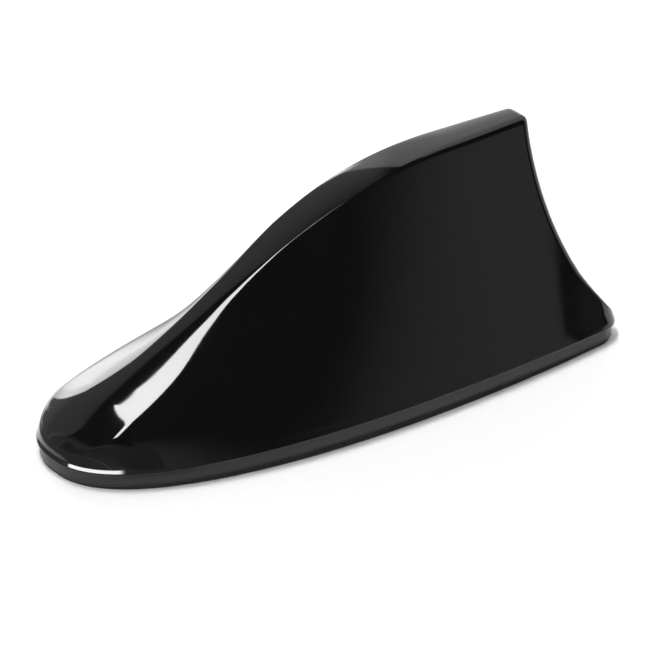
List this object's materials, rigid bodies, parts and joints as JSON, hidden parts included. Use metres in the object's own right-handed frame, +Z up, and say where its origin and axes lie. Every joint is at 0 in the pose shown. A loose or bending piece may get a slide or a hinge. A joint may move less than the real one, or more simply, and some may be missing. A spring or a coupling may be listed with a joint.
{
  "type": "shark fin aerial",
  "caption": "Gloss black shark fin roof aerial: a hollow moulded fin on a rubber seal and foam pad, with an amplifier board, a coil and a folded capacity plate inside.",
  "frame": {"origin": "on the roof, under the middle of the base", "axes": "+X from the nose to the tail, +Z up, away from the roof"},
  "size_m": [0.1661, 0.072, 0.06],
  "materials": {
    "cover_gloss": "polished gloss black, moulded",
    "seal_rubber": "satin black rubber",
    "pad_foam": "matt black closed-cell foam",
    "base_plastic": "matt black, moulded",
    "screw_steel": "zinc plated",
    "grommet_rubber": "matt black rubber",
    "board_laminate": "green solder resist on glass fibre laminate",
    "can_tinplate": "tinned sheet steel",
    "chip_plastic": "matt black moulded resin",
    "inductor_ferrite": "dark grey ferrite",
    "capacitor_ceramic": "tan ceramic",
    "resistor_ceramic": "black glaze on ceramic",
    "socket_brass": "plain brass",
    "former_plastic": "natural white moulded plastic",
    "coil_wire": "enamelled copper wire"
  },
  "bodies": {
    "root": {"fin_cover": "cover_gloss", "base_seal": "seal_rubber", "adhesive_pad": "pad_foam", "base_plate": "base_plastic", "cover_screws": "screw_steel", "lead_grommet": "grommet_rubber", "circuit_board": "board_laminate", "board_screws": "screw_steel", "shield_can": "can_tinplate", "amplifier_chip": "chip_plastic", "filter_inductors": "inductor_ferrite", "chip_capacitors": "capacitor_ceramic", "chip_resistors": "resistor_ceramic", "lead_socket": "socket_brass", "coil_former": "former_plastic", "coil_terminal": "socket_brass", "aerial_coil": "coil_wire", "capacity_plate": "can_tinplate"}
  },
  "joints": []
}
